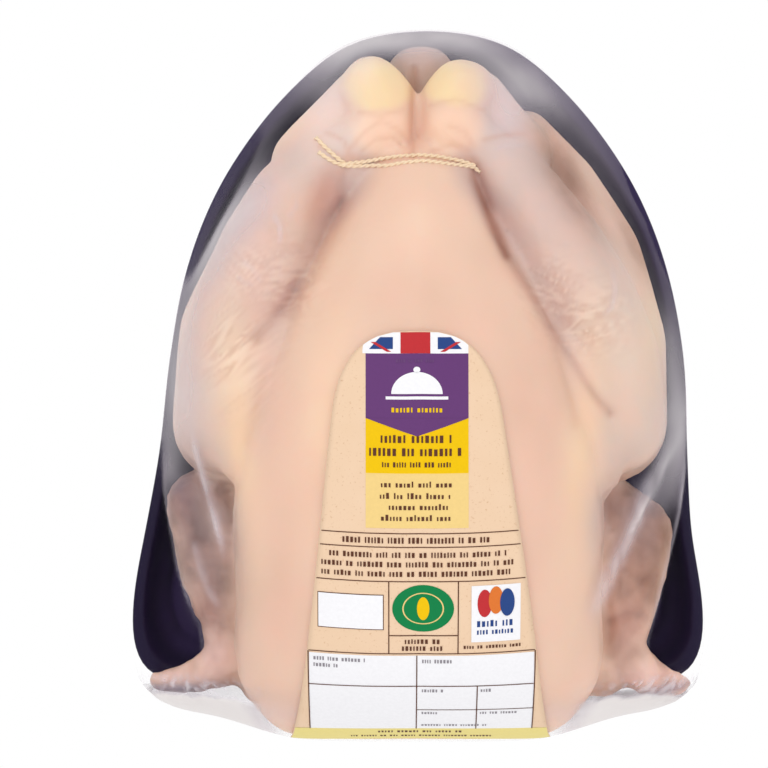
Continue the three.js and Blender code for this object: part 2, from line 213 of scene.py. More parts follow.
# Thermoformed PET: nearly black aubergine, paler where the sheet is drawn thin, with a wet gloss that
# handling has dulled a little. Towards the leg end it is painted lighter, a painted reflection of the light.
tray_pet = new_material("aubergine_pet")
tray_place = add_node(tray_pet, "TexCoord").outputs["Object"]
handling = add_node(tray_pet, "TexNoise", {"Vector": tray_place, "Scale": 60.0, "Detail": 4.0})
tray_rough = add_node(
    tray_pet, "MapRange", {"Value": handling.outputs["Fac"], "To Min": 0.28, "To Max": 0.34}
)
tray_grain = add_node(tray_pet, "TexNoise", {"Vector": tray_place, "Scale": 900.0, "Detail": 2.0})
tray_bump = add_node(
    tray_pet, "Bump", {"Height": tray_grain.outputs["Fac"], "Strength": 0.03, "Distance": 0.1 * MM}
)
tray_tint_and_sheen_node = add_node(tray_pet, "VertexColor", layer_name="sheet_tint")
surface(
    tray_pet,
    add_node(
        tray_pet,
        "BsdfPrincipled",
        {
            "Base Color": tray_tint_and_sheen_node.outputs["Color"],
            "Roughness": tray_rough.outputs["Result"],
            "IOR": 1.57,
            "Specular IOR Level": 0.08,
            "Normal": tray_bump.outputs["Normal"],
        },
    ),
)
tray = dress(bpy.data.objects.new("moulded_tray", tray_mesh), [tray_pet])
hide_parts("tray")


# The bird: a plucked, drawn broiler of about 1.8 kg on its back. The trunk is drawn as sections from
# the tail to the neck, and legs, thighs and wings as chains of balls that the skin is laid over.

# y, half-width, top and bottom of each section
TRUNK = [
    (94, 8, 52, 40),
    (86, 20, 72, 22),
    (66, 28, 88, 12),
    (48, 38, 97.5, 7),
    (31, 47.5, 104.5, 5),
    (10, 57, 110, 4),
    (-20, 66.5, 115, 4),
    (-50, 69.5, 116.5, 4),
    (-80, 68, 114, 5),
    (-98, 69, 108, 8),
    (-110, 67, 100, 14),
    (-119, 62, 89, 24),
    (-127, 55.5, 75, 33),
    (-131, 50, 63, 38),
    (-133.5, 43, 52, 42),
]
TRUNK_MIDDLE_HEIGHT = 54
BREAST_FULLNESS = 2.3
KEEL_RISE = 2.2
KEEL_WIDTH = 9
KEEL_END = -90
KEEL_FULL = -20
LEAST_CROWN = 12
# x, y, z and radius of the balls of each limb, left and right
DRUMSTICKS = [
    [(-18, 111, 60, 12), (-13.5, 104, 60, 13), (-14, 96, 61, 12.6), (-21, 88, 61, 12), (-34, 80, 62, 12.5),
     (-48, 68.5, 63, 15.5), (-57, 50, 63, 18), (-64, 31, 61, 19.5), (-69, 9, 57, 20.5), (-71.5, -14, 52, 20)],
    [(16.5, 110.5, 60, 11.8), (13, 104, 60, 13), (13, 96, 61, 12.8), (20, 88, 61, 12), (30, 80.5, 62, 12.5),
     (40.5, 68.5, 63, 14.5), (52, 50, 63, 17.5), (62, 31, 61, 19.5), (70, 9, 57, 20.5), (73, -14, 52, 20)],
]
THIGHS = [
    [(-48, 68, 38, 15), (-59, 46, 36, 18.5), (-68, 18, 37, 23), (-69, -14, 38, 24)],
    [(40, 92, 42, 11), (52, 72, 37, 17), (64.5, 47, 36, 20.5), (70.5, 15, 36, 23.2), (70, -14, 38, 24)],
]
WINGS = [
    [(-50, -98, 30, 16), (-82, -46, 26, 14), (-77.5, -72, 27, 13), (-71, -92, 28, 11), (-70, -104, 29, 10),
     (-85, -111, 30, 6.5), (-99, -113, 29, 4.5)],
    [(50, -98, 30, 16), (72, -45, 25, 11), (83.5, -56, 26, 13.5), (82, -70, 27, 13), (78, -84, 28, 12.5),
     (75, -100, 29, 10.5), (87, -111, 30, 7.5), (101, -115, 29, 4.5)],
]
RUMP = [[(0, 86, 40, 22), (1, 104, 34, 15), (1, 114, 37, 14)]]
# Skin that spans from one part to the next: leg to breast, thigh to breast, wing to breast
WEBS = [
    [(-31, 70, 56, 6), (-35, 58, 60, 7), (-44, 40, 66, 8)],
    [(-54, 16, 68, 13), (-58, 0, 68, 15), (-61, -24, 62, 15)],
    [(52, 8, 68, 13), (57, -10, 67, 15), (61, -30, 61, 15)],
    [(-64, -40, 26, 10), (-68, -60, 26, 10), (-60, -104, 28, 11), (-58, -112, 30, 10)],
    [(64, -40, 26, 10), (70, -58, 26, 10), (62, -106, 30, 12), (70, -109, 29, 10)],
]
SHANK_SKIN = [
    [(-24, 108, 52, 9), (-33, 96, 52, 11), (-42, 84, 56, 13)],
    [(24, 108, 52, 9), (31, 97, 52, 10), (38, 86, 55, 12)],
]
BALLS_PER_STEP = 8
SKIN_VOXEL = 1.4
# The sections are read this far apart and smoothed over this many readings
STATION_STEP = 0.5
STATION_WINDOW = 19


def along_stations(stations, column):
    """A smooth run of one value over the stations' places."""
    rows = sorted(stations)
    places = np.arange(rows[0][0], rows[-1][0] + STATION_STEP, STATION_STEP)
    values = np.interp(places, [r[0] for r in rows], [r[column] for r in rows])
    window = np.hanning(STATION_WINDOW)
    window /= window.sum()
    padded = np.pad(values, STATION_WINDOW // 2, mode="reflect", reflect_type="odd")
    values = np.convolve(padded, window, mode="valid")
    return lambda place: np.interp(place, places, values)


trunk_half, trunk_top, trunk_bottom = (along_stations(TRUNK, column) for column in (1, 2, 3))


def trunk_point(ball_point):
    """Where a point of a unit ball with its poles along Z goes on the trunk."""
    neck, tail = TRUNK[-1][0], TRUNK[0][0]
    y = neck + (tail - neck) * (1 + ball_point.z) / 2
    ring = math.hypot(ball_point.x, ball_point.y)
    across, up = (ball_point.x / ring, ball_point.y / ring) if ring > 1e-6 else (0, 0)
    top, bottom = float(trunk_top(y)), float(trunk_bottom(y))
    middle = min(TRUNK_MIDDLE_HEIGHT, top - LEAST_CROWN)
    power = 2 / BREAST_FULLNESS
    x = math.copysign(abs(across) ** power, across) * float(trunk_half(y))
    z = middle + abs(up) ** power * ((top - middle) if up > 0 else (bottom - middle))
    if up > 0:
        z += KEEL_RISE * math.exp(-((x / KEEL_WIDTH) ** 2)) * float(smoothstep(KEEL_END, KEEL_FULL, y))
    return Vector((x, y, z)) * MM


bird_shape = bmesh.new()
bmesh.ops.create_uvsphere(bird_shape, u_segments=72, v_segments=96, radius=1)
for vert in bird_shape.verts:
    vert.co = trunk_point(vert.co)
# The remap turns the ball inside out, so its faces are turned back
bmesh.ops.recalc_face_normals(bird_shape, faces=bird_shape.faces)
for chain in DRUMSTICKS + THIGHS + WINGS + RUMP + WEBS + SHANK_SKIN:
    for start, end in zip(chain, chain[1:]):
        for step in range(BALLS_PER_STEP + 1):
            x, y, z, radius = (a + (b - a) * step / BALLS_PER_STEP for a, b in zip(start, end))
            bmesh.ops.create_icosphere(
                bird_shape,
                subdivisions=3,
                radius=radius * MM,
                matrix=Matrix.Translation(Vector((x, y, z)) * MM),
            )
bird_mesh = baked_modifiers(
    bird_shape,
    "bird",
    [
        ("REMESH", {"mode": "VOXEL", "voxel_size": SKIN_VOXEL * MM}),
        ("SMOOTH", {"factor": 0.6, "iterations": 10}),
    ],
)
skin = points_of(bird_mesh)


# Colours of painted shade in the skin's creases and folds
DEEP_FOLD_SHADE = "9C6A5C"
SHANK_FOLD_SHADE = "93604F"
PALE_CREASE_SHADE = "C98F6E"
WING_CREASE_SHADE = "8A5A48"
# Creases and folds of the bird's skin: the colour of the shade painted along them and its share, then depth,
# half-width and line in plan
CREASES = [
    (DEEP_FOLD_SHADE, 0.4, 1.3, 2.0, [(-29, 68), (-38.5, 47.5), (-46, 34.5), (-54.5, 22.7), (-60, 17)]),
    (DEEP_FOLD_SHADE, 0.1, 1.3, 2.0, [(-27, 79), (-29, 68)]),
    (DEEP_FOLD_SHADE, 0.4, 1.5, 1.8, [(28.5, 57), (32.5, 47), (39.5, 36), (46.5, 24), (54.6, 11), (64, -3.5),
                               (70.3, -10.5)]),
    (DEEP_FOLD_SHADE, 0.1, 1.2, 4.0, [(-32, 77), (-34, 69), (-36, 62)]),
    (SHANK_FOLD_SHADE, 0.75, 2.6, 1.8, [(20.5, 79.5), (23.7, 70), (27.4, 57), (32, 47)]),
    (PALE_CREASE_SHADE, 0.4, 2.4, 1.3, [(-1.6, 118), (-2.2, 108), (-2.4, 84)]),
    (PALE_CREASE_SHADE, 0.4, 1.2, 1.8, [(-27, 82.5), (-16, 82), (-4, 84), (8, 82.5), (19, 82)]),
    (PALE_CREASE_SHADE, 0.22, 0.8, 0.9, [(-25, 87), (-20, 93), (-14, 97), (-8, 94), (-3, 88)]),
    (PALE_CREASE_SHADE, 0.22, 0.6, 0.8, [(-21, 86), (-16, 90), (-10, 91), (-5, 87)]),
    (PALE_CREASE_SHADE, 0.22, 0.5, 0.9, [(-22, 100), (-14, 99), (-6, 101)]),
    (PALE_CREASE_SHADE, 0.22, 0.8, 1.0, [(11, 95), (17, 93), (20, 87)]),
    (PALE_CREASE_SHADE, 0.22, 0.7, 1.0, [(5, 86), (12, 88), (18, 86)]),
    (PALE_CREASE_SHADE, 0.3, 0.9, 1.1, [(24, 90), (31, 92), (39, 93)]),
    (PALE_CREASE_SHADE, 0.22, 0.5, 0.9, [(4, 103), (14, 105), (24, 101)]),
    (PALE_CREASE_SHADE, 0.3, 0.9, 0.9, [(-34, 93), (-28, 90), (-25, 84)]),
    (PALE_CREASE_SHADE, 0.3, 0.8, 0.9, [(-37, 88), (-31, 85), (-27, 80)]),
    (PALE_CREASE_SHADE, 0.15, 0.4, 1.6, [(-60, 17), (-64, 8), (-70, 2)]),
    (PALE_CREASE_SHADE, 0.15, 0.4, 1.8, [(-57, 2), (-60, -10), (-63, -21)]),
    (PALE_CREASE_SHADE, 0.15, 0.4, 1.8, [(50, 14), (55, -4), (57, -15)]),
    (WING_CREASE_SHADE, 0.25, 0.8, 1.2, [(-84, -58), (-78, -61), (-71, -60)]),
    (WING_CREASE_SHADE, 0.25, 0.9, 1.2, [(-84, -74), (-79, -76), (-72, -73)]),
    (WING_CREASE_SHADE, 0.25, 1.2, 1.4, [(-81, -92), (-76, -90), (-69, -93)]),
    (WING_CREASE_SHADE, 0.25, 0.8, 1.2, [(92, -58), (86, -60), (80, -57)]),
    (WING_CREASE_SHADE, 0.25, 0.9, 1.2, [(90, -72), (83, -74), (77, -70)]),
    (WING_CREASE_SHADE, 0.25, 1.0, 1.3, [(86, -88), (79, -86), (72, -89)]),
]


def line_distance(points, line):
    """Distance in plan from each point to a line of straight stretches."""
    best = np.full(len(points), 1e9)
    for start, end in zip(line, line[1:]):
        a, b = np.array(start, float), np.array(end, float)
        run = b - a
        share = np.clip(((points[:, :2] - a) @ run) / (run @ run), 0, 1)
        nearest = a + share[:, None] * run
        best = np.minimum(best, np.hypot(*(points[:, :2] - nearest).T))
    return best


def spot(points, x, y, across, along, turn=0):
    """A soft round or oval spot in plan, 1 in its middle and fading outwards."""
    a = math.radians(turn)
    dx, dy = points[:, 0] - x, points[:, 1] - y
    u = (dx * math.cos(a) + dy * math.sin(a)) / across
    v = (-dx * math.sin(a) + dy * math.cos(a)) / along
    return np.exp(-(u * u + v * v))


def field(points, stretch, seed=0.0):
    """Smooth noise from -1 to 1 at each point, with a feature size in mm along X, Y and Z."""
    scaled = points / np.array(stretch) + seed
    return np.array([noise.noise(Vector(p)) for p in scaled])


upward = smoothstep(0.0, 0.5, normals_of(bird_mesh)[:, 2])
for _, _, depth, half_width, line in CREASES:
    skin[:, 2] -= depth * upward * np.exp(-((line_distance(skin, line) / half_width) ** 2))
set_points(bird_mesh, skin)
carved = bmesh.new()
carved.from_mesh(bird_mesh)
bird_mesh = baked_modifiers(carved, "bird", [("SMOOTH", {"factor": 0.5, "iterations": 3})])
skin = points_of(bird_mesh)

# Fine wrinkles of the leg skin: x, y, half-widths of the place, the way they run, spacing and depth
WRINKLES = [
    (-49, 38, 12, 13, 8, 2.8, 0.8),
    (-62, 42, 10, 9, -38, 3.2, 0.7),
    (-68, 12, 13, 17, 42, 3.6, 0.9),
    (62, 24, 14, 12, 12, 3.2, 0.7),
    (50, 34, 10, 12, -30, 3.6, 0.4),
]
normals = normals_of(bird_mesh)
upward = smoothstep(0.0, 0.5, normals[:, 2])
wrinkles, wrinkle_share, ridge_line = (np.zeros(len(skin)) for _ in range(3))
for x, y, across, along, way, spacing, depth in WRINKLES:
    way = math.radians(way)
    share = spot(skin, x, y, across, along)
    turned = np.c_[
        skin[:, 0] * math.cos(way) + skin[:, 1] * math.sin(way),
        skin[:, 1] * math.cos(way) - skin[:, 0] * math.sin(way),
        skin[:, 2],
    ]
    here = share > 0.05
    ridges = 1 - np.abs(field(turned[here], (spacing * 6, spacing, spacing * 5), x)) * 2.2
    wrinkles[here] -= ridges * share[here] * depth
    stronger = share[here] > wrinkle_share[here]
    ridge_line[here] = np.where(stronger, np.clip(ridges, 0, 1), ridge_line[here])
    wrinkle_share[here] = np.maximum(wrinkle_share[here], share[here])
on_wing = smoothstep(-30, -42, skin[:, 1]) * smoothstep(64, 71, np.abs(skin[:, 0]))
bumps = np.abs(field(skin, (6, 8, 6), 7.7)) * 1.5 * on_wing
lumps = field(skin, (28, 34, 28), 1.7) * 0.5 + field(skin, (9, 12, 9), 4.4) * 0.18
skin -= normals * ((wrinkles - lumps) * upward + bumps)[:, None]
set_points(bird_mesh, skin)

SKIN_PEACH = "E2BFA9"
LEG_PINK = "CBB4AC"
THIGH_PEACH = "D9C2B1"
HOCK_YELLOW = "EBD1A4"
ANKLE_PEACH = "EFCBB1"
RUMP_TAUPE = "C2A597"

tint = np.tile(linear(SKIN_PEACH), (len(skin), 1))


def paint(colour, share):
    """Lays a colour over the skin, with its share from 0 to 1 at each vertex."""
    global tint
    share = np.clip(share, 0, 1)[:, None]
    tint = tint * (1 - share) + np.array(linear(colour)) * share


leg_share = np.zeros(len(skin))
for chain in DRUMSTICKS:
    from_line = line_distance(skin, [ball[:2] for ball in chain[4:]])
    leg_share = np.maximum(leg_share, 1 - smoothstep(13, 22, from_line))
paint(LEG_PINK, leg_share * 0.9)
hocks = np.maximum(spot(skin, -15, 112, 15, 13), spot(skin, 14, 112, 14, 12))
hock_edge = np.where(skin[:, 0] < -1, 100, 103) + 2 * field(skin, (6, 8, 8), 2.2)
ankles = np.maximum(spot(skin, -13, 93, 15, 10), spot(skin, 13, 94, 14, 10))
paint(ANKLE_PEACH, smoothstep(0.3, 0.8, ankles) * 0.85)
paint(HOCK_YELLOW, smoothstep(0.3, 0.6, hocks) * smoothstep(-3, 3, skin[:, 1] - hock_edge))
paint(RUMP_TAUPE, 0.95 * smoothstep(0.2, 0.5, spot(skin, 1, 119, 15, 13)) * smoothstep(60, 53, skin[:, 2]))
# Where the skin's colour changes, and where shade and highlights are painted on it: colour, x, y,
# half-widths, turn and strength
SKIN_TONES_AND_PAINTED_LIGHT = [
    (THIGH_PEACH, -77, 8, 20, 36, 0, 0.9),
    (THIGH_PEACH, 79, 8, 20, 36, 0, 0.9),
    ("EBDAD2", -34, 101, 9, 13, 0, 0.8),
    ("DDCDCB", 32, 104, 8, 13, 0, 0.8),
    # Painted highlight: a whitish arc on the top of the left hock
    ("F4E3C4", -22, 119, 8, 5, 20, 0.7),
    # The next four are painted shade: the notch between the right leg and thigh, the right thigh's outer
    # contour, the hollow between the left leg and the breast and the gap at the right knee
    ("8A5A34", 55, 78, 6.5, 22, 25, 0.95),
    ("A87A5C", 83, 51, 5, 20, 25, 0.85),
    ("C2958A", -35, 71, 5, 9, -25, 0.8),
    ("A8705F", 25, 67, 3, 14, 22, 0.7),
    ("E8C0A0", -46, 62, 12, 14, 30, 0.25),
    # Painted shade: the breast darker just above the label
    ("D6AE98", -2, 32, 16, 12, 0, 0.5),
    ("D9AF99", 38, -12, 9, 22, 0, 0.45),
    ("F1C9A6", -62, 40, 8, 8, 30, 0.2),
    ("E3C9A6", 90, 22, 6, 14, 0, 0.6),
    ("E2B49D", -54, -14, 9, 44, 4, 0.5),
    ("E0B39D", 46, -30, 9, 60, -4, 0.4),
    ("D6AC96", -52, -76, 10, 28, 0, 0.4),
    # Painted highlights: two pale ribbons where the breast runs into the thighs, left and right
    ("F3CDA6", -66, -22, 6, 34, 4, 0.7),
    ("F3CDA6", 60, -24, 6, 34, -4, 0.7),
    ("F2CDAA", -34, -10, 8, 34, -4, 0.5),
    # Painted highlight at the top of the breast, near the legs
    ("EBC9B1", -2, 62, 14, 18, 0, 0.6),
    # The next twelve are painted shade on the wings, which lie low under the thighs and beside the breast,
    # and in the gaps between wing and breast
    ("674D49", -82, -62, 11, 24, 12, 0.95),
    ("6A4246", -89, -40, 7, 12, 0, 0.85),
    ("8C5B3A", 85, -72, 10, 22, -10, 0.95),
    ("764A33", 88, -53, 9, 11, 0, 0.85),
    ("86645C", 81, -44, 9, 7, 0, 0.6),
    ("B9A29C", -73, -49, 5.5, 15, 10, 0.95),
    ("86645A", -77, -70, 2.5, 9, 0, 0.7),
    ("C2A59C", 70, -48, 7, 13, -12, 0.95),
    ("8C5A48", -80, -86, 7, 7, 0, 0.8),
    ("BE8C78", 78, -91, 8, 10, 0, 0.8),
    ("80604C", 77, -78, 2.5, 3.5, 20, 0.6),
    ("8C644E", 74, -99, 4, 3.5, 0, 0.6),
    ("CDA79C", -77, -102, 8, 8, 0, 0.9),
    ("D9B6AA", -90, -110, 14, 4, 0, 0.95),
    ("E0BAAE", 90, -110, 14, 5, 0, 0.95),
    # Painted shadow of the crumpled film: a grey-violet band at both wing tips
    ("7F7480", -93, -115.8, 20, 2.8, 2, 0.95),
    ("837884", 95, -115.6, 13, 2.3, 12, 0.9),
]
for colour, x, y, across, along, turn, strength in SKIN_TONES_AND_PAINTED_LIGHT:
    paint(colour, strength * spot(skin, x, y, across, along, turn) ** 0.7)
# Painted shade along the creases and folds
for colour, strength, _, half_width, line in CREASES:
    paint(colour, strength * np.exp(-((line_distance(skin, line) / half_width) ** 2)))
# Painted shade on the flanks of the leg wrinkles and a painted highlight on their ridges
paint("C39680", 0.38 * wrinkle_share * smoothstep(0.1, 0.45, ridge_line) * smoothstep(0.8, 0.5, ridge_line))
paint("F6E0CC", 0.32 * wrinkle_share * smoothstep(0.6, 0.95, ridge_line))
wing_mottle = field(skin, (9, 12, 9), 3.1) + 0.5 * field(skin, (3.5, 4, 4), 8.6)
tint *= 1 + 0.32 * (on_wing * wing_mottle)[:, None] * np.array([0.8, 1.0, 1.1])
mottle = field(skin, (16, 22, 16), 5.2)[:, None]
tint *= 1 + 0.05 * mottle * np.array([0.6, 1.0, 1.1])
store_colours(bird_mesh, "skin_tint", tint)

# Raw poultry skin: moist and slightly see-through over pale fat, so light spreads in it, with feather
# follicles about 4 mm apart.
poultry_skin = new_material("raw_poultry_skin")
skin_place = add_node(poultry_skin, "TexCoord").outputs["Object"]
skin_tint = add_node(poultry_skin, "VertexColor", layer_name="skin_tint").outputs["Color"]
veins = add_node(poultry_skin, "TexNoise", {"Vector": skin_place, "Scale": 70.0, "Detail": 5.0})
vein_share = add_node(
    poultry_skin,
    "MapRange",
    {"Value": veins.outputs["Fac"], "From Min": 0.42, "From Max": 0.75, "To Max": 0.35},
)
blushed = add_node(
    poultry_skin,
    "MixRGB",
    {"Fac": vein_share.outputs["Result"], "Color1": skin_tint, "Color2": "E9B9A6"},
    blend_type="MIX",
)
follicles = add_node(
    poultry_skin, "TexVoronoi", {"Vector": skin_place, "Scale": 250.0}, feature="SMOOTH_F1"
)
fine_skin = add_node(
    poultry_skin, "TexNoise", {"Vector": skin_place, "Scale": 420.0, "Detail": 4.0}
)
skin_height = add_node(
    poultry_skin,
    "MixRGB",
    {
        "Fac": 0.45,
        "Color1": follicles.outputs["Distance"],
        "Color2": fine_skin.outputs["Fac"],
    },
)
skin_bump = add_node(
    poultry_skin,
    "Bump",
    {"Height": skin_height.outputs["Color"], "Strength": 0.35, "Distance": 0.5 * MM},
)
surface(
    poultry_skin,
    add_node(
        poultry_skin,
        "BsdfPrincipled",
        {
            "Base Color": blushed.outputs["Color"],
            "Roughness": 0.48,
            "IOR": 1.42,
            "Subsurface Weight": 0.25,
            "Subsurface Radius": (1.0, 0.45, 0.25),
            "Subsurface Scale": 4 * MM,
            "Normal": skin_bump.outputs["Normal"],
        },
    ),
)
bird = dress(bpy.data.objects.new("bird", bird_mesh), [poultry_skin])
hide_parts("wrapped_chicken")


# The film: clear stretch film drawn over bird and tray. It is lifted by the bird, folds where it is
# pulled round the wings and is tucked under the neck end. Away from the skin it looks hazy white, and
# painted sheen and painted highlights are laid on it in the same white.

FILM_LIFT = 0.05
FILM_GAP = 0.5
PRESS_SOFTNESS = 0.5
PRESSED_SMOOTHING = 6
LEAST_MOVE = 0.02
HAZE_BLURS = 14
# The film ends this far over the rim, but for its tuck in front of the tray's neck side
FILM_EDGE_RISE = 0.5
FRONT_TUCK = 1.2
FACING_DOWN = -0.2
film_shape = merged_copy("wrapped_chicken")
RIM_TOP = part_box("tray")[1].z / MM
TRAY_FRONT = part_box("tray")[0].y / MM
inner_faces = [
    face
    for face in film_shape.faces
    if face.calc_center_median().z / MM < RIM_TOP + FILM_EDGE_RISE
    and face.calc_center_median().y / MM > TRAY_FRONT - FRONT_TUCK
    and (face.normal.z < FACING_DOWN or face.calc_center_median().z / MM < RIM_TOP)
]
bmesh.ops.delete(film_shape, geom=inner_faces, context="FACES")
bmesh.ops.join_triangles(
    film_shape, faces=film_shape.faces, angle_face_threshold=1.0, angle_shape_threshold=1.4
)
film_mesh = baked_modifiers(film_shape, "film", [("SUBSURF", {"levels": 2, "render_levels": 2})])
film = points_of(film_mesh)
film_normals = normals_of(film_mesh)


def tree_of(points, mesh):
    """A search tree of a mesh, with its points given in millimetres."""
    return BVHTree.FromPolygons(
        [Vector(p) * MM for p in points], [list(face.vertices) for face in mesh.polygons]
    )


def press_in(points, tree, lowest):
    """Lets the points over the lowest height that touch or pass the film down under it, softly."""
    for i in np.flatnonzero(points[:, 2] > lowest):
        place, normal, _, _ = tree.find_nearest(Vector(points[i]) * MM)
        depth = (place - Vector(points[i]) * MM).dot(normal) / MM
        spare = (depth - FILM_GAP) / PRESS_SOFTNESS
        if spare < 5:
            pressed = FILM_GAP + PRESS_SOFTNESS * math.log1p(math.exp(spare))
            points[i] -= np.array(normal) * (pressed - depth)


# The drawn film presses the skin that it lies on to about the film's gap under it
pack_shape = merged_copy("wrapped_chicken")
press_in(skin, BVHTree.FromBMesh(pack_shape), -1)
pack_shape.free()
press_in(skin, tree_of(film, film_mesh), RIM_TOP + 3)
moved = np.linalg.norm(skin - points_of(bird_mesh), axis=1) > LEAST_MOVE
set_points(bird_mesh, skin)
pressed_skin = bmesh.new()
pressed_skin.from_mesh(bird_mesh)
pressed_verts = [vert for vert, is_moved in zip(pressed_skin.verts, moved) if is_moved]
for _ in range(PRESSED_SMOOTHING):
    bmesh.ops.smooth_vert(
        pressed_skin, verts=pressed_verts, factor=0.5, use_axis_x=True, use_axis_y=True, use_axis_z=True
    )
pressed_skin.to_mesh(bird_mesh)
pressed_skin.free()
skin = points_of(bird_mesh)

# Pull lines of the film: points in plan, height and half-width of the fold, and how strongly a painted
# highlight whitens the film along it
PULL_LINES = [
    ([(-84, -14), (-82, -26), (-79.5, -35), (-76, -47), (-72.2, -60), (-72, -66)], 0.8, 1.3, 0.5),
    ([(-84, -57), (-81, -68), (-77, -77), (-72, -84)], 0.7, 1.4, 0.26),
    ([(-96.4, -22), (-95.6, -40), (-92.6, -56), (-90, -69), (-86, -80), (-81, -93)], 0.5, 0.8, 0.14),
    ([(100, -14), (90, -31), (85, -41), (79, -54), (70.5, -69), (65, -80), (61, -92)], 0.9, 3.0, 0.48),
    ([(86, -40), (80.5, -50), (76, -57)], 0.6, 0.8, 0.5),
    ([(101.6, -26), (98.7, -48), (96.4, -57), (92.6, -70), (89.4, -81), (85.6, -94)], 0.5, 0.7, 0.34),
    ([(-46, 68), (-45, 65), (-48, 60)], 0.2, 0.9, 0.2),
    ([(-54, 63), (-51, 58), (-51, 50)], 0.2, 0.9, 0.25),
    ([(-66, 46), (-61, 42), (-57, 36)], 0.2, 0.9, 0.22),
    ([(-67, 40), (-64, 37), (-60, 36)], 0.2, 0.9, 0.16),
    ([(71, 44), (72, 34), (70.5, 28), (66, 24)], 0.2, 0.9, 0.22),
    ([(27, 86), (34, 88.5), (40, 88)], 0.1, 0.8, 0.14),
]
# Hazy white places of the film, partly real and partly painted sheen: x, y, half-widths, turn and strength
MILK_AND_SHEEN_PLACES = [
    (-26, 126, 20, 9, 12, 0.6),
    (2, 131, 24, 7, 0, 0.55),
    (30, 120, 20, 10, -20, 0.36),
    (-36, 110, 9, 12, 40, 0.2),
    (34, 103, 9, 14, 20, 0.3),
    (48, 108, 14, 9, -45, 0.2),
    (62, 88, 10, 22, 35, 0.06),
    (-62, 66, 8, 14, -32, 0.42),
    (-75, 52, 8, 18, -18, 0.5),
    (-86, 28, 7, 26, -8, 0.26),
    (-88, -2, 8, 22, 0, 0.4),
    (56, 66, 12, 26, 30, 0.08),
    (78, 44, 8, 26, 18, 0.08),
    (95, 8, 5, 17, 6, 0.34),
    (98, -16, 8, 14, 0, 0.42),
    (95, -34, 8, 14, -20, 0.2),
    (-95, -30, 5, 14, 0, 0.22),
    (-60, 40, 14, 12, 30, 0.08),
    (-90, -121, 40, 5, 0, 0.4),
    (92, -121, 40, 5, 0, 0.4),
]
# Outside these edges the film hangs clear over the tray: y and the distance from the middle
CLEAR_EDGES = [
    [(130, 130), (99, 62), (94, 58), (82.6, 62), (72, 67), (63, 72), (52, 78), (40, 85), (34, 200),
     (-14, 200), (-21.7, 96.6), (-46.7, 95), (-56.5, 92.6), (-69, 90), (-80, 86.2), (-89, 81.6),
     (-106, 80)],
    [(130, 130), (95, 90), (83, 76.7), (71, 80.9), (62, 85.8), (51, 89.6), (37, 95.6), (28, 97.9),
     (20, 200), (-6, 200), (-13, 101.7), (-33, 101.2), (-47.8, 98.7), (-57, 96.4), (-69.7, 92.6),
     (-81.5, 89.4), (-94, 86.2), (-107, 84.7)],
]
WHITE_FILM_Y = -116.5


def along_share(points, line):
    """How far along a line each point lies, from 0 at its start to 1 at its end."""
    lengths = [math.dist(a, b) for a, b in zip(line, line[1:])]
    best, share_there, done = np.full(len(points), 1e9), np.zeros(len(points)), 0.0
    for start, end, length in zip(line, line[1:], lengths):
        a, run = np.array(start, float), np.array(end, float) - np.array(start, float)
        share = np.clip(((points[:, :2] - a) @ run) / (run @ run), 0, 1)
        away = np.hypot(*(points[:, :2] - a - share[:, None] * run).T)
        share_there = np.where(away < best, (done + share * length) / sum(lengths), share_there)
        best = np.minimum(best, away)
        done += length
    return share_there


bird_tree = tree_of(skin, bird_mesh)
hang = np.array([bird_tree.find_nearest(Vector(p) * MM)[3] / MM for p in film])
raised = np.full(len(film), FILM_LIFT)
clear_of = np.zeros(len(film))
for side, edge in zip((-1, 1), CLEAR_EDGES):
    edge_y, edge_x = np.array(sorted(edge)).T
    beyond = side * film[:, 0] - np.interp(film[:, 1], edge_y, edge_x)
    here = smoothstep(-0.3, 0.9, beyond) * (side * film[:, 0] > 0)
    clear_of = np.maximum(clear_of, here * smoothstep(-111, -106, film[:, 1]))
haze_drift = 1 + 0.3 * field(film, (20, 24, 24), 6.4) + 0.1 * field(film, (7, 9, 9), 2.8)
haze_and_sheen = 0.005 + 0.06 * smoothstep(2, 8, hang)
for x, y, across, along, turn, strength in MILK_AND_SHEEN_PLACES:
    share = strength * spot(film, x, y, across, along, turn)
    haze_and_sheen = 1 - (1 - haze_and_sheen) * (1 - share)
white_end = smoothstep(WHITE_FILM_Y + 1, WHITE_FILM_Y - 2, film[:, 1] + 2 * field(film, (7, 9, 9), 8.1))
white_end *= smoothstep(54, 70, np.abs(film[:, 0]) - 0.4 * (film[:, 1] - WHITE_FILM_Y))
haze_and_sheen = np.maximum(haze_and_sheen * haze_drift, 0.88 * white_end)
haze_and_sheen *= 1 - clear_of
# Pull lines lift the film into folds and whiten it along them as a painted highlight
for line, height, half_width, strength in PULL_LINES:
    ends = np.clip(along_share(film, line), 0.0, 1.0)
    fade = smoothstep(0.0, 0.2, ends) * smoothstep(1.0, 0.75, ends)
    near = np.exp(-((line_distance(film, line) / half_width) ** 2)) * fade
    raised += height * near
    haze_and_sheen = 1 - (1 - haze_and_sheen) * (1 - strength * near * (0.75 + 0.5 * field(film, (6, 9, 6), 1.2)))
# Painted glints: the crumpled film at the wing tips is whitened on its creases
crumple = np.clip(spot(film, -86, -114, 22, 6) + spot(film, 90, -114, 22, 6), 0, 1)
crumple *= smoothstep(-107, -112, film[:, 1])
creased = np.abs(field(film, (3.5, 4, 5), 9.3))
raised += creased * 1.8 * crumple
haze_and_sheen = np.maximum(haze_and_sheen, 0.5 * crumple * smoothstep(0.18, 0.36, creased))
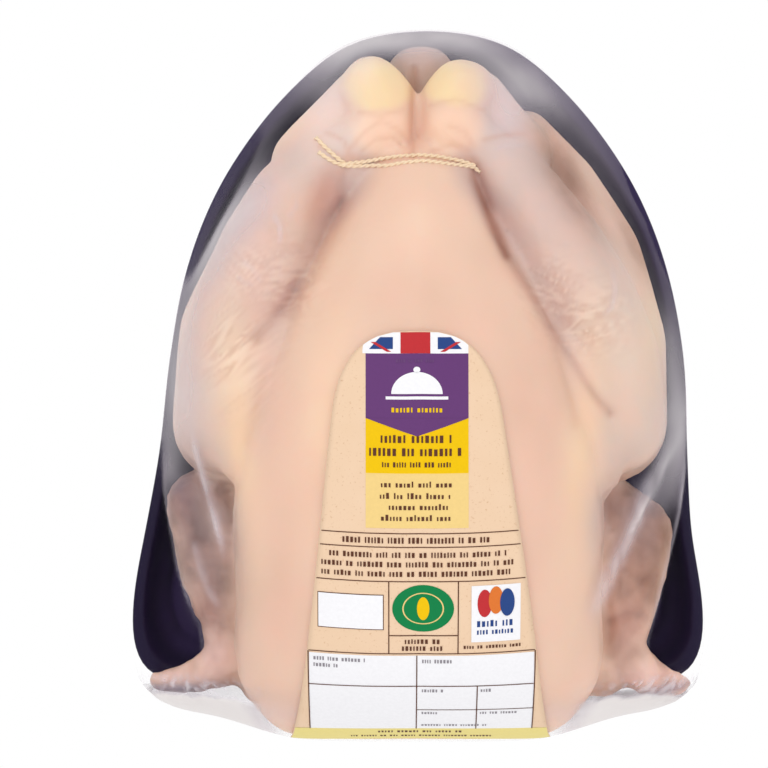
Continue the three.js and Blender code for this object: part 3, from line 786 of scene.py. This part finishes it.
# On the steep sides the hazy white places and painted sheen fade out softly
film_edges = np.zeros(len(film_mesh.edges) * 2, int)
film_mesh.edges.foreach_get("vertices", film_edges)
ends_a, ends_b = film_edges.reshape(-1, 2).T
neighbours = np.bincount(film_edges, minlength=len(film))
blurred = haze_and_sheen.copy()
for _ in range(HAZE_BLURS):
    around_it = np.bincount(ends_a, blurred[ends_b], len(film))
    around_it += np.bincount(ends_b, blurred[ends_a], len(film))
    blurred = (blurred + around_it / neighbours) / 2
haze_and_sheen += (blurred - haze_and_sheen) * smoothstep(0.5, 0.2, film_normals[:, 2]) * smoothstep(-105, -95, film[:, 1])
film += film_normals * raised[:, None]
set_points(film_mesh, film)
milk_and_sheen_layer = film_mesh.attributes.new("milky", "FLOAT", "POINT")
milk_and_sheen_layer.data.foreach_set("value", np.clip(haze_and_sheen, 0, 0.9))

# Stretched PVC film: clear, with a sharp gloss, and hazy white where light catches it off the skin; the
# white share also holds painted sheen and painted highlights.
stretch_film = new_material("clear_stretch_film")
milk_and_sheen_share = add_node(stretch_film, "Attribute", attribute_name="milky").outputs["Fac"]
cling = add_node(stretch_film, "TexCoord").outputs["Object"]
ripples = add_node(stretch_film, "TexNoise", {"Vector": cling, "Scale": 45.0, "Detail": 3.0})
film_bump = add_node(
    stretch_film, "Bump", {"Height": ripples.outputs["Fac"], "Strength": 0.12, "Distance": 1.0 * MM}
)
gloss = add_node(
    stretch_film,
    "BsdfGlossy",
    {"Color": "FFFFFF", "Roughness": 0.28, "Normal": film_bump.outputs["Normal"]},
)
clear = add_node(stretch_film, "BsdfTransparent", {"Color": "FFFFFF"})
edge_on = add_node(
    stretch_film, "Fresnel", {"IOR": 1.16, "Normal": film_bump.outputs["Normal"]}
)
# Taut film shows little of its gloss from above, even where it turns down at the sides
faint_gloss = add_node(
    stretch_film, "MapRange", {"Value": edge_on.outputs["Fac"], "To Max": 0.2}
)
glossy_film = add_node(
    stretch_film,
    "MixShader",
    {0: faint_gloss.outputs["Result"], 1: clear.outputs[0], 2: gloss.outputs[0]},
)
milk_colour = add_node(
    stretch_film, "MixRGB", {"Fac": milk_and_sheen_share, "Color1": "E2D6E6", "Color2": "E4DEDA"}
)
milk_and_sheen_shader = add_node(
    stretch_film,
    "BsdfPrincipled",
    {
        "Base Color": milk_colour.outputs["Color"],
        "Roughness": 0.35,
        "IOR": 1.45,
        "Normal": film_bump.outputs["Normal"],
    },
)
surface(
    stretch_film,
    add_node(
        stretch_film, "MixShader", {0: milk_and_sheen_share, 1: glossy_film.outputs[0], 2: milk_and_sheen_shader.outputs[0]}
    ),
)
film_piece = dress(bpy.data.objects.new("stretch_film", film_mesh), [stretch_film])
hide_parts("wrapped_chicken")


# The tie: two turns of cream cotton kitchen string, two plies each, drawn tight round both shanks
# above the joint, with two loose ends on the left.

STRING_PLY_RADIUS = 0.5
PLY_OFFSET = 0.36
STRING_TWIST = 4.6
STRING_STEP = 0.5
PRESSED_IN = 0.3
COURSE_SMOOTHING = 12
OVER_THE_PACK = 200
# x and y of each strand
STRANDS = [
    [(-28.5, 80.5), (-24, 80.2), (-18, 80.6), (-12, 80.2), (-5, 81.4), (2, 82), (9, 81.2), (16, 80.6),
     (20.5, 80.2), (22.5, 78)],
    [(-27.5, 81), (-20, 82), (-13, 83.2), (-7, 83.9), (0, 84.2), (7, 83.8), (13, 82.8), (18, 81.6),
     (21, 80.4)],
    [(-38, 91), (-35, 87.6), (-31.5, 84.4), (-28, 81.6), (-26.5, 80.6)],
    [(-37, 85.4), (-33.5, 82.8), (-30, 81), (-27, 80.6)],
]
string_shape = bmesh.new()
for strand in STRANDS:
    rows = np.array(strand, float)
    lengths = np.r_[0, np.cumsum(np.hypot(*np.diff(rows, axis=0).T))]
    places = np.linspace(0, lengths[-1], int(lengths[-1] / STRING_STEP))
    course = []
    for place in places:
        x, y = np.interp(place, lengths, rows[:, 0]), np.interp(place, lengths, rows[:, 1])
        top = bird_tree.ray_cast(Vector((x, y, OVER_THE_PACK)) * MM, Vector((0, 0, -1)))[0].z / MM
        course.append((x, y, top + PRESSED_IN))
    course = np.array(course)
    for _ in range(COURSE_SMOOTHING):
        course[1:-1] = (course[:-2] + 2 * course[1:-1] + course[2:]) / 4
    for ply in (0, math.pi):
        loop, before = None, None
        for k, place in enumerate(places):
            ahead = Vector(course[min(k + 1, len(course) - 1)] - course[max(k - 1, 0)]).normalized()
            side = ahead.cross(Vector((0, 0, 1))).normalized()
            over = side.cross(ahead)
            turn = ply + place * 2 * math.pi / STRING_TWIST
            heart = Vector(course[k]) + (side * math.cos(turn) + over * math.sin(turn)) * PLY_OFFSET
            here = Matrix.Translation(heart * MM) @ Matrix((side, over, -ahead)).transposed().to_4x4()
            if loop is None:
                ring = bmesh.ops.create_circle(
                    string_shape, cap_ends=True, segments=8, radius=STRING_PLY_RADIUS * MM, matrix=here
                )["verts"]
                loop = list({edge for vert in ring for edge in vert.link_edges})
            else:
                grown = bmesh.ops.extrude_edge_only(string_shape, edges=loop)["geom"]
                ring = [part for part in grown if isinstance(part, bmesh.types.BMVert)]
                loop = [
                    part for part in grown
                    if isinstance(part, bmesh.types.BMEdge) and set(part.verts) <= set(ring)
                ]
                bmesh.ops.transform(string_shape, matrix=here @ before.inverted(), verts=ring)
            before = here
        bmesh.ops.edgeloop_fill(string_shape, edges=loop)
bmesh.ops.recalc_face_normals(string_shape, faces=string_shape.faces)

# Unbleached cotton: cream, fuzzy and soaked a little yellow where it lies on the skin.
cotton = new_material("cream_cotton_string")
fluff = add_node(
    cotton,
    "TexNoise",
    {"Vector": add_node(cotton, "TexCoord").outputs["Object"], "Scale": 900.0, "Detail": 3.0},
)
soaked = add_node(
    cotton, "MixRGB", {"Fac": fluff.outputs["Fac"], "Color1": "E9CDA6", "Color2": "F0DDC2"}
)
fuzz = add_node(cotton, "Bump", {"Height": fluff.outputs["Fac"], "Strength": 0.5, "Distance": 0.2 * MM})
surface(
    cotton,
    add_node(
        cotton,
        "BsdfPrincipled",
        {"Base Color": soaked.outputs["Color"], "Roughness": 0.75, "Normal": fuzz.outputs["Normal"]},
    ),
)
string_piece = new_piece("tie_string", string_shape, [cotton])


# The label: a long kraft-look paper sticker, laid on the film from an arch near the legs, down over
# the breast and round the neck end. Its print is flat fields of ink, with blocks where words go.

LABEL_TOP = 19
LABEL_LENGTH = 175
LABEL_ARCH = 34
LABEL_WRAP_AXIS = Vector((0, -62, 26))
# Its middle, its drift to the right by a run of the given length, its half-width and the spread of that
LABEL_MIDDLE = -1.4
LABEL_DRIFT = 2.1
LABEL_DRIFT_RUN = 120
LABEL_HALF = 26.6
LABEL_SPREAD = 0.1235
# The film under it is measured by rays, in columns that reach past its widest edge
LABEL_REACH = 52
LABEL_COLUMN_STEP = 2.0
LABEL_RAYS = 1200
LABEL_RAY_START = 400
LABEL_SMOOTHING = 4
PAPER_LIFT = 0.85
PAPER_THICKNESS = 0.25
INK_LIFT = 0.06

film_tree = tree_of(film, film_mesh)


def wrapped_at(x, angle):
    """Where a ray towards the label's wrapping axis meets the film."""
    outward = Vector((0, math.cos(angle), math.sin(angle)))
    start = Vector((x, 0, 0)) + LABEL_WRAP_AXIS + outward * LABEL_RAY_START
    place = film_tree.ray_cast(start * MM, -outward)[0]
    return np.array(place) / MM


label_across = np.arange(-LABEL_REACH, LABEL_REACH + 1, LABEL_COLUMN_STEP)
label_runs = np.arange(0, LABEL_LENGTH + 2.0)
label_columns = []
for x in label_across:
    angles = np.linspace(0.1, math.pi * 1.25, LABEL_RAYS)
    column = np.array([wrapped_at(x, angle) for angle in angles])
    column = column[np.argmax(column[:, 1] <= LABEL_TOP) :]
    lengths = np.r_[0, np.cumsum(np.linalg.norm(np.diff(column, axis=0), axis=1))]
    label_columns.append([np.interp(label_runs, lengths, column[:, k]) for k in range(3)])
label_places = np.array(label_columns).transpose(2, 0, 1)
for _ in range(LABEL_SMOOTHING):
    label_places[1:-1] = (label_places[:-2] + 2 * label_places[1:-1] + label_places[2:]) / 4
    label_places[:, 1:-1] = (label_places[:, :-2] + 2 * label_places[:, 1:-1] + label_places[:, 2:]) / 4
label_normals = np.cross(np.gradient(label_places, axis=0), np.gradient(label_places, axis=1))
label_normals /= np.linalg.norm(label_normals, axis=2)[:, :, None]


def on_label(x, run, lift):
    """A point over the film, from its x and its length along the label, in mm."""
    i = min(max(run, 0), LABEL_LENGTH)
    j = (x - label_across[0]) / LABEL_COLUMN_STEP
    low_i, low_j = int(i), int(j)
    i, j = i - low_i, j - low_j
    corners = [(0, 0, (1 - i) * (1 - j)), (1, 0, i * (1 - j)), (0, 1, (1 - i) * j), (1, 1, i * j)]
    place = sum(label_places[low_i + a, low_j + b] * share for a, b, share in corners)
    normal = sum(label_normals[low_i + a, low_j + b] * share for a, b, share in corners)
    return Vector(place + normal * lift) * MM


def paper_edges(run):
    """The left and right edge of the sticker: an arch, then sides that spread to the neck end."""
    middle = LABEL_MIDDLE + LABEL_DRIFT * float(smoothstep(0, LABEL_DRIFT_RUN, run))
    arch = 1 - (1 - min(run / LABEL_ARCH, 1)) ** 2.6
    half = (LABEL_HALF + LABEL_SPREAD * run) * arch ** (1 / 3)
    return middle - half, middle + half


paper_shape = bmesh.new()
bmesh.ops.create_grid(paper_shape, x_segments=30, y_segments=100, size=1)
for vert in paper_shape.verts:
    run = LABEL_LENGTH * ((1 - vert.co.y) / 2) ** 1.6
    left, right = paper_edges(run)
    vert.co = on_label(left + (right - left) * (vert.co.x + 1) / 2, run, PAPER_LIFT)
bmesh.ops.remove_doubles(paper_shape, verts=paper_shape.verts, dist=0.02 * MM)
paper_mesh = baked_modifiers(
    paper_shape, "label", [("SOLIDIFY", {"thickness": PAPER_THICKNESS * MM, "offset": -1.0})]
)

# Uncoated kraft-look paper: pale tan with short darker fibres.
kraft = new_material("kraft_look_paper")
kraft_place = add_node(kraft, "TexCoord").outputs["Object"]
fibres = add_node(kraft, "TexNoise", {"Vector": kraft_place, "Scale": 1100.0, "Detail": 2.0})
fibre_share = add_node(
    kraft, "MapRange", {"Value": fibres.outputs["Fac"], "From Min": 0.62, "From Max": 0.75, "To Max": 0.5}
)
clouds = add_node(kraft, "TexNoise", {"Vector": kraft_place, "Scale": 90.0, "Detail": 3.0})
kraft_shade = add_node(
    kraft, "MixRGB", {"Fac": clouds.outputs["Fac"], "Color1": "DFBF9F", "Color2": "E4C6A9"}
)
flecked = add_node(
    kraft,
    "MixRGB",
    {"Fac": fibre_share.outputs["Result"], "Color1": kraft_shade.outputs["Color"], "Color2": "BE8F66"},
)
paper_bump = add_node(
    kraft, "Bump", {"Height": fibres.outputs["Fac"], "Strength": 0.2, "Distance": 0.1 * MM}
)
surface(
    kraft,
    add_node(
        kraft,
        "BsdfPrincipled",
        {
            "Base Color": flecked.outputs["Color"],
            "Roughness": 0.62,
            "Specular IOR Level": 0.3,
            "Normal": paper_bump.outputs["Normal"],
        },
    ),
)
label_paper = dress(bpy.data.objects.new("label_paper", paper_mesh), [kraft])
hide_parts("label")

INKS = {
    "white": "EAE9EC",
    "purple": "654170",
    "dark_purple": "62396F",
    "yellow": "E5BA00",
    "pale_yellow": "E6C781",
    "lemon": "E2D284",
    "brown": "5A3526",
    "grey": "8A858C",
    "green": "0A7A43",
    "red": "B92E33",
    "orange": "D57230",
    "blue": "27437E",
}
ink_names = list(INKS)
print_shapes = bmesh.new()


def print_shape(ink, edges, start, end, level=1, round_ends=False):
    """Prints a field of ink between two runs of the label, from its left and right edge at each."""
    widths = [edges(start + (end - start) * share) for share in (0.02, 0.5, 0.98)]
    columns = max(1, round(max(right - left for left, right in widths) / 1.8))
    rows = 20 if round_ends else max(1, round((end - start) / 1.5))
    made = bmesh.ops.create_grid(print_shapes, x_segments=columns, y_segments=rows, size=1)["verts"]
    for vert in made:
        down = -math.sin(vert.co.y * math.pi / 2) if round_ends else -vert.co.y
        run = start + (end - start) * (1 + down) / 2
        left, right = edges(run)
        x = left + (right - left) * (vert.co.x + 1) / 2
        vert.co = on_label(x, run, PAPER_LIFT + level * INK_LIFT)
    for face in {face for vert in made for face in vert.link_faces}:
        face.material_index = ink_names.index(ink)


def print_block(ink, left, right, start, end, level=1):
    print_shape(ink, lambda run: (left, right), start, end, level)


def print_oval(ink, x, run, half_x, half_run, level=2):
    def edges(at):
        half = half_x * math.sqrt(max(1 - ((at - run) / half_run) ** 2, 0))
        return x - half, x + half

    print_shape(ink, edges, run - half_run, run + half_run, level, round_ends=True)


def print_words(ink, left, right, run, height, pitch, small=False):
    """A line of print, as a row of narrow blocks in groups, none of them a letter."""
    dice = random.Random(round(run * 100 + left))
    x, group = left, dice.randint(3, 7)
    while x < right - pitch * 0.5:
        if group == 0:
            x, group = x + pitch * 0.6, dice.randint(2, 8)
            continue
        width = pitch * dice.choice((0.26, 0.36, 0.5))
        tall = height * (dice.choice((0.66, 0.66, 0.7, 1)) if small else dice.choice((0.86, 0.94, 1)))
        print_block(ink, x, x + width, run + height / 2 - tall, run + height / 2, 3)
        x, group = x + width + pitch * 0.3, group - 1


def inside_arch(left, right):
    """Straight sides, kept within the arch at the top of the sticker."""

    def edges(run):
        paper_left, paper_right = paper_edges(max(run, 0.4))
        return max(left, paper_left + 0.3), max(min(right, paper_right - 0.3), left + 0.1)

    return edges


# The emblem column: a band of flag colours, a purple field with a dish cover, two yellow fields. Its
# edges and half-width, then the runs at which its fields and the table start and end
COLUMN = (-19.3, 17.2)
COLUMN_HALF = 18.25
BAND_TOP, BAND_FOOT = 0.4, 8.2
PURPLE_FOOT, PURPLE_POINT, POINT_DROP = 31.8, 38.3, 6.5
YELLOW_FOOT, PALE_FOOT = 51.5, 71
TABLE_TOP, TABLE_FOOT = 117.9, 160.4
print_shape("white", inside_arch(-20.4, 17.2), BAND_TOP, BAND_FOOT, 1)
print_shape("red", inside_arch(-6.8, 3.6), BAND_TOP, BAND_FOOT, 2)
print_shape("blue", lambda run: (-19.5 + max(0, BAND_FOOT - run) * 0.9, -9.5), 2.2, 6.6, 2)
print_shape("blue", lambda run: (6.2, 16.3 - max(0, BAND_FOOT - run) * 0.9), 2.2, 6.6, 2)
print_shape("red", lambda run: (-17.5 + (run - 4) * 1.6, -15.8 + (run - 4) * 1.6), 4, 7.6, 3)
print_shape("red", lambda run: (12.8 - (run - 4) * 1.6, 14.5 - (run - 4) * 1.6), 4, 7.6, 3)
print_block("dark_purple", *COLUMN, BAND_FOOT, PURPLE_FOOT, 1)
print_block("yellow", *COLUMN, PURPLE_FOOT, YELLOW_FOOT, 1)
print_shape(
    "dark_purple",
    lambda run: (
        COLUMN[0] + COLUMN_HALF * (run - PURPLE_FOOT) / POINT_DROP,
        COLUMN[1] - COLUMN_HALF * (run - PURPLE_FOOT) / POINT_DROP,
    ),
    PURPLE_FOOT,
    PURPLE_POINT,
    3,
)
print_words("purple", -8.4, 6.6, 10.9, 1.2, 1.3)

# A dish cover: half an oval dome with a knob, on a rim, over a line of words


def dome(run):
    half = 9 * math.sqrt(max(1 - ((23 - run) / 8) ** 2, 0))
    return -1.1 - half, -1.1 + half


print_shape("white", dome, 15, 23, 2, round_ends=True)
print_oval("white", -1.1, 14.2, 1.2, 1.1)
print_block("white", -12.1, 9.9, 23.9, 25, 2)
print_words("yellow", -10, 9, 28.8, 1.7, 1.9)
print_words("brown", -13.9, 12.2, 39.2, 2.8, 2.5)
print_words("brown", -18, 15.6, 43.9, 2.8, 2.4)
print_words("brown", -13.4, 11.4, 48.4, 1.8, 1.65)
print_block("pale_yellow", *COLUMN, YELLOW_FOOT, PALE_FOOT, 1)
for run, left, right in [(55.4, -13.8, 11.6), (59.5, -14.2, 11.6), (63.4, -11, 10.2), (67.3, -13.8, 11.6)]:
    print_words("brown", left, right, run, 2.1, 2.0, small=True)

# Below it, rules, lines of words, three marks in cells and a table to write in
for run in (72.9, 77.8, 90.1, 117.1):
    left, right = paper_edges(run)
    print_block("brown", max(left + 0.6, -39.9), min(right - 0.6, 41.2), run - 0.18, run + 0.18, 2)
print_words("brown", -27.5, 26, 75.4, 2.1, 1.9)
for run, left, right in [(80.6, -32.2, 31.4), (84, -35, 34), (87.4, -35, 33)]:
    print_words("brown", left, right, run, 1.9, 1.9)
for x in (-11.1, 13.6):
    print_block("brown", x - 0.2, x + 0.2, 90.3, 117, 2)
print_block("brown", -11, 13.5, 109.8, 110.2, 2)
print_words("brown", -5.4, 7.8, 112.3, 1.8, 1.9)
print_words("brown", -6.4, 8.8, 115, 1.8, 1.9)
print_block("brown", -36.4, -12.9, 94.9, 107.9, 2)
print_block("white", -36.1, -13.2, 95.2, 107.6, 3)
print_oval("green", 1.1, 99.9, 11, 8.6, 2)
print_oval("pale_yellow", 1.1, 99.9, 7.4, 5.8, 3)
print_oval("green", 1.1, 99.9, 6.9, 5.4, 4)
print_oval("yellow", 1.1, 99.9, 2.2, 4.2, 5)
print_block("white", 18.3, 35.8, 91.9, 112.7, 2)
print_oval("red", 23, 98.4, 2.6, 5, 3)
print_oval("orange", 27, 97.4, 2.6, 5, 4)
print_oval("blue", 31, 98.4, 2.6, 5, 5)
print_words("blue", 20.3, 33.8, 105.8, 2.4, 2.2)
print_words("blue", 20.3, 33.8, 109, 1.7, 1.7)
print_words("brown", 15.6, 37.6, 114.6, 1.2, 1.5)
print_shape(
    "white",
    lambda run: (-39.6 - 0.012 * (run - 118), 41 + 0.014 * (run - 118)),
    TABLE_TOP,
    TABLE_FOOT,
    1,
)
print_block("brown", -1.3, -0.9, TABLE_TOP, TABLE_FOOT, 3)
print_block("brown", -40, 41, 131.1, 131.5, 3)
print_block("brown", -1.1, 41.2, 144.9, 145.3, 3)
print_block("brown", 20.5, 20.9, 131.3, TABLE_FOOT, 3)
for edge in (-39.9, 41.3):
    print_block("brown", edge - 0.2, edge + 0.2, 117.2, TABLE_FOOT, 4)
for run, left, right in [
    (119.9, -38, -18.5), (122.6, -38, -28.5), (120.2, 0.8, 12.4), (133.6, 0.8, 9.4), (133.6, 22, 26),
    (147.4, 0.8, 7), (147.4, 22, 36), (157, 0.8, 25),
]:
    print_words("grey", left, right, run, 1.5, 1.5)
print_shape("lemon", lambda run: [edge + sign for edge, sign in zip(paper_edges(run), (0.3, -0.3))],
            TABLE_FOOT, LABEL_LENGTH - 0.3, 1)
print_words("brown", -15, 16, 163.6, 2, 1.9)
print_words("brown", -25, 27, 169, 1.8, 1.6)
bmesh.ops.remove_doubles(print_shapes, verts=print_shapes.verts, dist=0.004 * MM)

ink_materials = []
for name, colour in INKS.items():
    # Matt printing ink, a little uneven where the paper takes it up.
    ink = new_material(name + "_ink")
    ink_place = add_node(ink, "TexCoord").outputs["Object"]
    take_up = add_node(ink, "TexNoise", {"Vector": ink_place, "Scale": 800.0, "Detail": 2.0})
    ink_rough = add_node(ink, "MapRange", {"Value": take_up.outputs["Fac"], "To Min": 0.45, "To Max": 0.65})
    tone = add_node(
        ink,
        "HueSaturation",
        {
            "Color": colour,
            "Value": add_node(
                ink, "MapRange", {"Value": take_up.outputs["Fac"], "To Min": 0.94, "To Max": 1.04}
            ).outputs["Result"],
        },
    )
    surface(
        ink,
        add_node(
            ink,
            "BsdfPrincipled",
            {
                "Base Color": tone.outputs["Color"],
                "Roughness": ink_rough.outputs["Result"],
                "Specular IOR Level": 0.12,
            },
        ),
    )
    ink_materials.append(ink)
label_print = new_piece("label_print", print_shapes, ink_materials, smooth=False)


# The scene: a light table, soft studio light and the camera straight above the pack.

# The table's half-size is in metres
TABLE_HALF = 3
TABLE_DROP = 0.3
floor_shape = bmesh.new()
bmesh.ops.create_grid(floor_shape, x_segments=1, y_segments=1, size=TABLE_HALF)
bmesh.ops.translate(floor_shape, verts=floor_shape.verts, vec=(0, 0, -TABLE_DROP * MM))
floor_mesh = bpy.data.meshes.new("floor")
floor_shape.to_mesh(floor_mesh)
floor_shape.free()
floor = bpy.data.objects.new("floor", floor_mesh)
bpy.context.scene.collection.objects.link(floor)
# Opal acrylic, lit from below, so that no shadow falls on it.
pale_floor = new_material("lit_opal_acrylic")
surface(pale_floor, add_node(pale_floor, "Emission", {"Color": "FFFFFF", "Strength": 1.0}))
floor.data.materials.append(pale_floor)

CAMERA_HEIGHT = 1600
RIM_PLANE = 24
PHOTO_WIDTH_ON_RIM = 291.8
CAMERA_X = -12.9
SENSOR_WIDTH = 36
camera_data = bpy.data.cameras.new("camera")
camera_data.sensor_width = SENSOR_WIDTH
camera_data.lens = SENSOR_WIDTH * (CAMERA_HEIGHT - RIM_PLANE) / PHOTO_WIDTH_ON_RIM
camera_data.clip_start = 0.05
camera_data.clip_end = 20
camera = bpy.data.objects.new("camera", camera_data)
camera.location = Vector((CAMERA_X, 0, CAMERA_HEIGHT)) * MM
bpy.context.scene.collection.objects.link(camera)
bpy.context.scene.camera = camera

# name, place and size in metres, and power of each soft light, all aimed at the pack
LIGHT_AIM = Vector((0, 0, 0.05))
LIGHTS = [
    ("key_light", (-0.6, 1.0, 1.5), 1.6, 9),
    ("fill_light", (1.1, -0.2, 1.2), 1.6, 3.5),
    ("front_light", (-0.2, -1.2, 1.2), 1.5, 3.5),
]
for name, place, size, power in LIGHTS:
    light_data = bpy.data.lights.new(name, "AREA")
    light_data.size = size
    light_data.energy = power
    light = bpy.data.objects.new(name, light_data)
    light.location = place
    light.rotation_mode = "QUATERNION"
    light.rotation_quaternion = (LIGHT_AIM - Vector(place)).to_track_quat("-Z", "Y")
    bpy.context.scene.collection.objects.link(light)

world = bpy.data.worlds.new("studio")
bpy.context.scene.world = world
world.use_nodes = True
world.node_tree.nodes["Background"].inputs["Color"].default_value = (1, 1, 1, 1)
world.node_tree.nodes["Background"].inputs["Strength"].default_value = 0.9
bpy.context.scene.view_settings.view_transform = "Standard"
